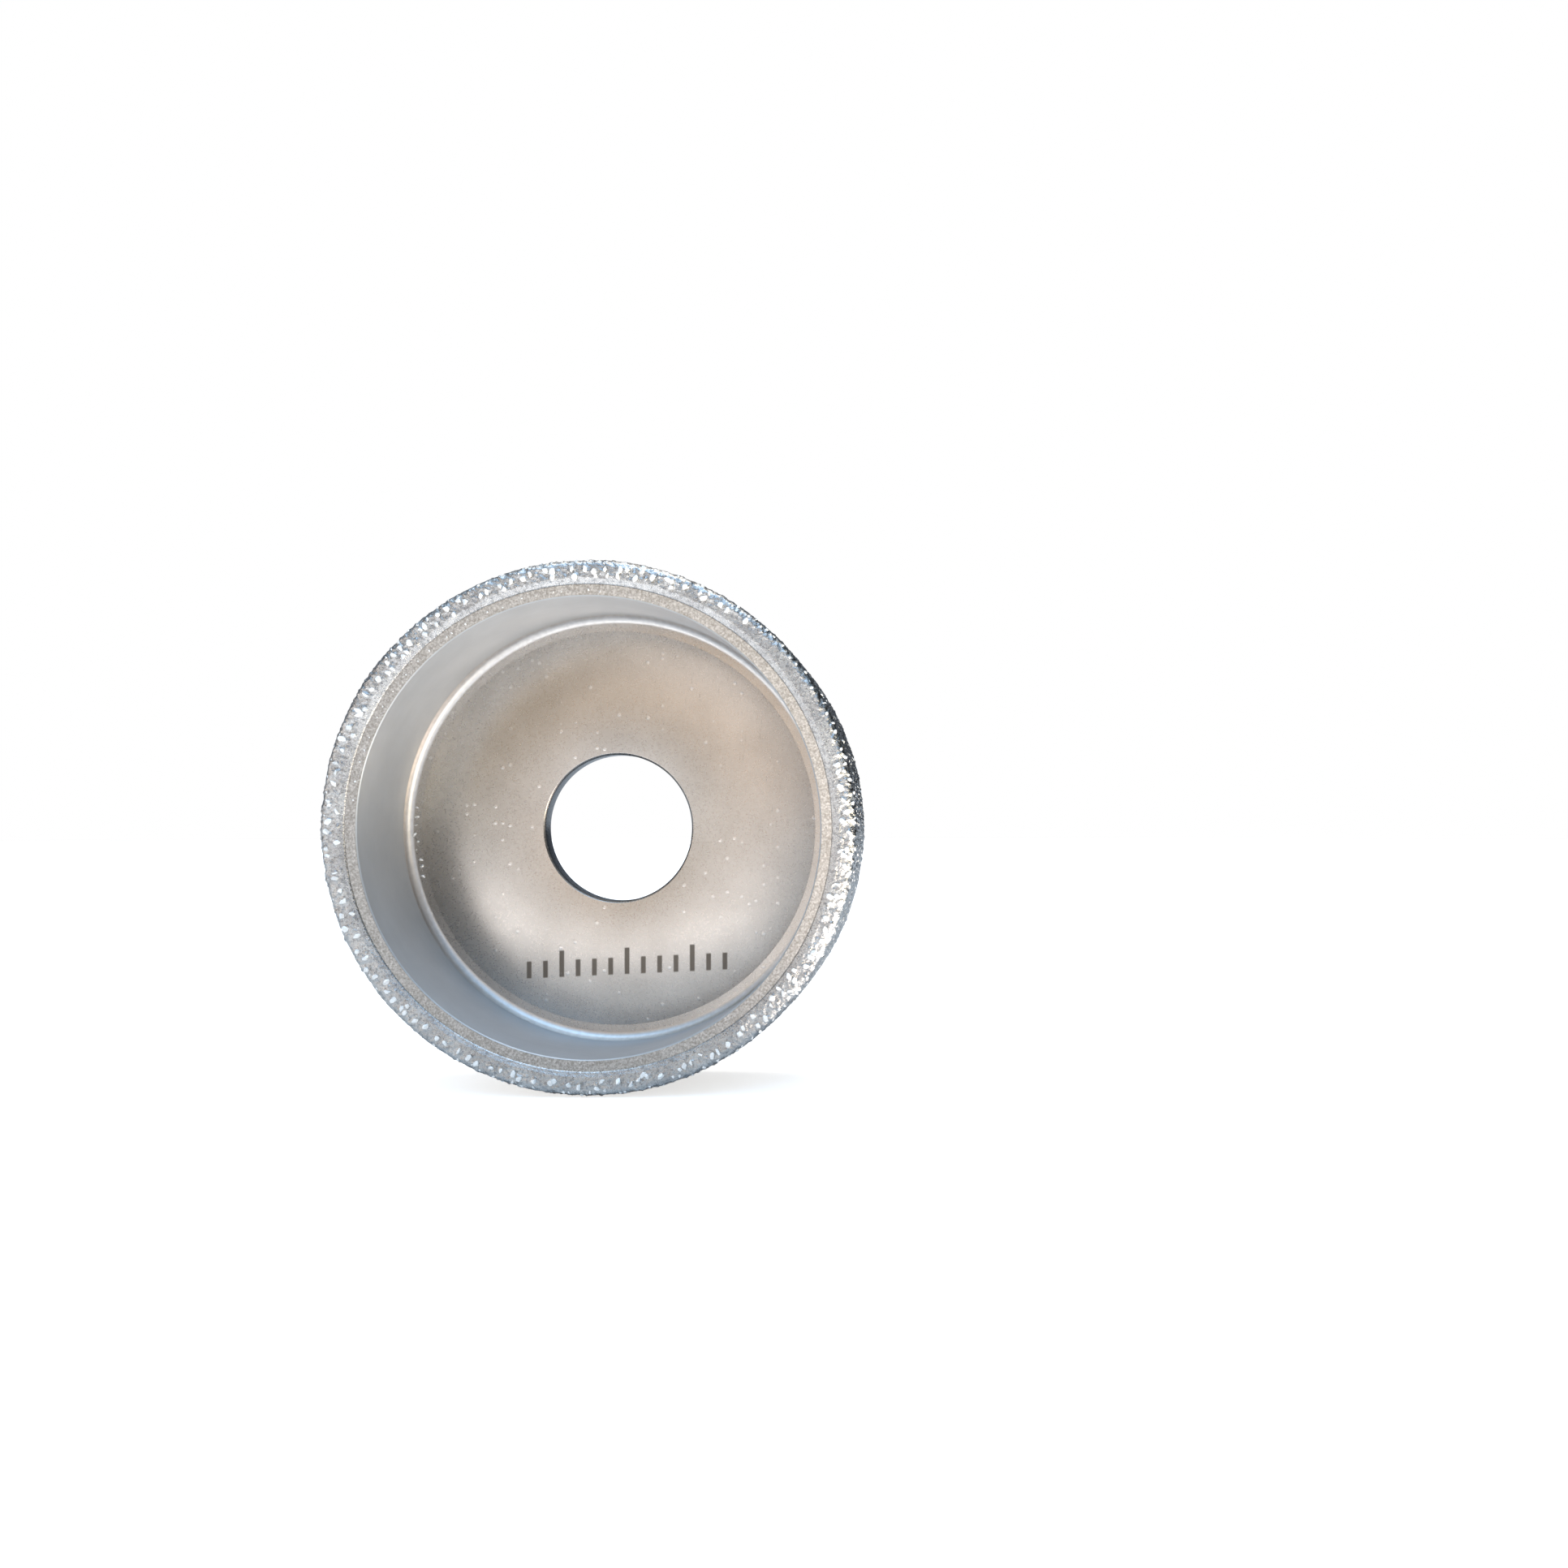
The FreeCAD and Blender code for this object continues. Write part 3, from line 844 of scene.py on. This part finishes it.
def coat_braze():
    """Silvery braze with a crinkled, foil-like skin."""
    shader = Shader("coat_braze", Metallic=1.0)
    patch = shader.noise(3.5, 4.0)
    fine = shader.noise(0.2, 3.0, 0.65)
    blotch_noise = shader.noise(0.45, 2.0, 0.6)
    colour = shader.ramp(patch, [(0.3, (0.44, 0.43, 0.42)), (0.7, (0.57, 0.565, 0.55))])
    # Darker blotches where this noise is high; the same noise raises the bump there.
    dark = shader.range(blotch_noise, 0.5, 0.66, 0.0, 0.6)
    shader.set("Base Color", shader.mix(dark, colour, (0.22, 0.22, 0.22)))
    shader.set("Roughness", shader.range(fine, 0.3, 0.7, 0.2, 0.38))
    relief = shader.bump(fine, 0.06)
    relief = shader.bump(blotch_noise, 0.06, relief)
    shader.set("Normal", relief)
    return shader.material


def crystal_stone():
    """Diamond under a thin bright skin of braze."""
    shader = Shader("crystal_stone", Metallic=0.1)
    tint = shader.noise(1.3, 2.0)
    colour = shader.ramp(tint, [(0.35, (0.9, 0.9, 0.88)), (0.65, (0.98, 0.98, 0.96))])
    shader.set("Base Color", colour)
    shader.set("Roughness", shader.range(shader.noise(0.25, 2.0), 0.3, 0.7, 0.12, 0.34))
    shader.set("Normal", shader.bump(shader.noise(0.12, 2.0), 0.01))
    return shader.material


# ---------------------------------------------------------------- studio

CAMERA_PLACE = Vector((48.4, -190.5, 0.0))
CAMERA_LENS = 28.32
CAMERA_SHIFT = (-0.0975, 0.028)

# The studio's light by direction: where it comes from, the angles where it ends and where it is
# full, and its colour. Patches that overlap add up, and where none reaches the world is black.
STUDIO_LIGHTS = [
    ((0, 0, 1), 26, 8, (3.6, 3.3, 2.9)),
    ((0, -0.5, 0.866), 26, 8, (0.95, 1.85, 3.0)),
    ((0.433, -0.25, 0.866), 26, 8, (0.50, 0.70, 0.90)),
    ((-0.433, -0.25, 0.866), 26, 8, (0.90, 1.2, 1.5)),
    ((0, -0.866, 0.5), 26, 8, (1.15, 1.25, 1.4)),
    ((-0.866, -0.5, 0), 26, 8, (3.18, 2.95, 2.8)),
    ((-0.1, -1, 0.12), 12, 3, (0.86, 0.66, 0.46)),
    ((-0.05, -1, 0.02), 12, 3, (0.62, 0.58, 0.58)),
    ((-0.22, -0.96, 0.2), 12, 3, (0.4, 0.33, 0.26)),
    ((-0.4, -0.92, 0.12), 12, 3, (0.50, 0.42, 0.30)),
    ((-0.45, 0.75, 0.45), 70, 30, (0.24, 0.28, 0.34)),
]

# Bright cards that lie on the floor in front of the wheel, in metres: the place across and ahead,
# the width and depth, and the colour. They lie a little above the floor.
FLOOR_CARDS = {
    "near_card": (0.075, 0.075, 0.07, 0.08, (7.2, 6.4, 5.9)),
    "side_card": (0.12, 0.12, 0.07, 0.08, (15.0, 13.0, 8.5)),
    "far_card": (-0.06, 0.19, 0.15, 0.14, (2.8, 2.7, 2.7)),
}
CARD_LIFT = 0.002

# The floor's radius in metres, and how brightly the camera sees it.
FLOOR_REACH = 4.0
FLOOR_GLOW = 0.72


def make_camera():
    """The camera looks straight along the spin axis, from the right of it and level with it."""
    data = bpy.data.cameras.new("camera")
    data.lens = CAMERA_LENS
    data.shift_x, data.shift_y = CAMERA_SHIFT
    data.clip_start = 0.005
    camera = bpy.data.objects.new("camera", data)
    camera.location = CAMERA_PLACE * MM
    camera.rotation_euler = (math.radians(90), 0, 0)
    bpy.context.scene.collection.objects.link(camera)
    bpy.context.scene.camera = camera


def make_floor():
    """A wide pale floor under the wheel."""
    shader = Shader(
        "studio_floor",
        Roughness=0.9,
        Specular_IOR_Level=0.0,
        Emission_Color=(1, 0.99, 0.97, 1),
    )
    path = shader.node("ShaderNodeLightPath")
    seen = path.outputs["Is Camera Ray"]
    shader.set("Emission Strength", shader.math("MULTIPLY", seen, FLOOR_GLOW))
    cloud = shader.noise(60.0)
    colour = shader.ramp(cloud, [(0.3, (0.92, 0.92, 0.92)), (0.7, (0.94, 0.94, 0.94))])
    shader.set("Base Color", colour)
    made = bmesh.new()
    bmesh.ops.create_circle(made, cap_ends=True, segments=96, radius=FLOOR_REACH)
    mesh = bpy.data.meshes.new("studio_floor")
    made.to_mesh(mesh)
    made.free()
    mesh.materials.append(shader.material)
    ground = bpy.data.objects.new("studio_floor", mesh)
    ground.location.z = GROUND * MM
    bpy.context.scene.collection.objects.link(ground)


def make_world():
    """A soft studio, painted by direction. Where the camera sees it, it is plain white."""
    world = bpy.data.worlds.new("studio")
    world.use_nodes = True
    bpy.context.scene.world = world
    tree = world.node_tree
    tree.nodes.clear()
    place = tree.nodes.new("ShaderNodeTexCoord").outputs["Generated"]

    def slope(direction, low, high):
        """0 where the direction's slope is under low, 1 where it is over high."""
        dot = tree.nodes.new("ShaderNodeVectorMath")
        dot.operation = "DOT_PRODUCT"
        dot.inputs[1].default_value = Vector(direction).normalized()
        tree.links.new(place, dot.inputs[0])
        step = tree.nodes.new("ShaderNodeMapRange")
        step.interpolation_type = "SMOOTHSTEP"
        step.inputs["From Min"].default_value = low
        step.inputs["From Max"].default_value = high
        tree.links.new(dot.outputs["Value"], step.inputs["Value"])
        return step.outputs[0]

    def added(total, factor, colour):
        scaled = tree.nodes.new("ShaderNodeVectorMath")
        scaled.operation = "MULTIPLY_ADD"
        tree.links.new(factor, scaled.inputs[0])
        scaled.inputs[1].default_value = colour
        scaled.inputs[2].default_value = (0, 0, 0)
        if total is not None:
            tree.links.new(total, scaled.inputs[2])
        return scaled.outputs[0]

    total = None
    for direction, wide, narrow, colour in STUDIO_LIGHTS:
        factor = slope(direction, math.cos(math.radians(wide)), math.cos(math.radians(narrow)))
        total = added(total, factor, colour)
    lit = tree.nodes.new("ShaderNodeBackground")
    tree.links.new(total, lit.inputs[0])
    white = tree.nodes.new("ShaderNodeBackground")
    white.inputs[0].default_value = (1, 1, 1, 1)
    path = tree.nodes.new("ShaderNodeLightPath")
    pick = tree.nodes.new("ShaderNodeMixShader")
    tree.links.new(path.outputs["Is Camera Ray"], pick.inputs[0])
    tree.links.new(lit.outputs[0], pick.inputs[1])
    tree.links.new(white.outputs[0], pick.inputs[2])
    output = tree.nodes.new("ShaderNodeOutputWorld")
    tree.links.new(pick.outputs[0], output.inputs[0])


def make_card(name, across, ahead, width, depth, colour):
    """A bright card that lies on the floor in front of the wheel."""
    data = bpy.data.lights.new(name, "AREA")
    data.shape = "RECTANGLE"
    data.size, data.size_y = width, depth
    data.energy = math.pi * data.size * data.size_y * colour[0]
    data.color = [part / colour[0] for part in colour]
    card = bpy.data.objects.new(name, data)
    card.location = (across, -ahead, GROUND * MM + CARD_LIFT)
    card.rotation_euler = (math.pi, 0, 0)
    card.visible_camera = False
    bpy.context.scene.collection.objects.link(card)


def make_studio():
    make_world()
    make_floor()
    for name, card in FLOOR_CARDS.items():
        make_card(name, *card)
    bpy.context.scene.view_settings.view_transform = "Standard"


def main():
    make_camera()
    make_studio()
    make_disc(web_steel())
    make_ring(ring_steel())
    make_joint(joint_braze())
    make_beads(bead_braze())
    make_coat(coat_braze())
    stone = crystal_stone()
    make_crystals(stone)
    make_strays(stone)


main()
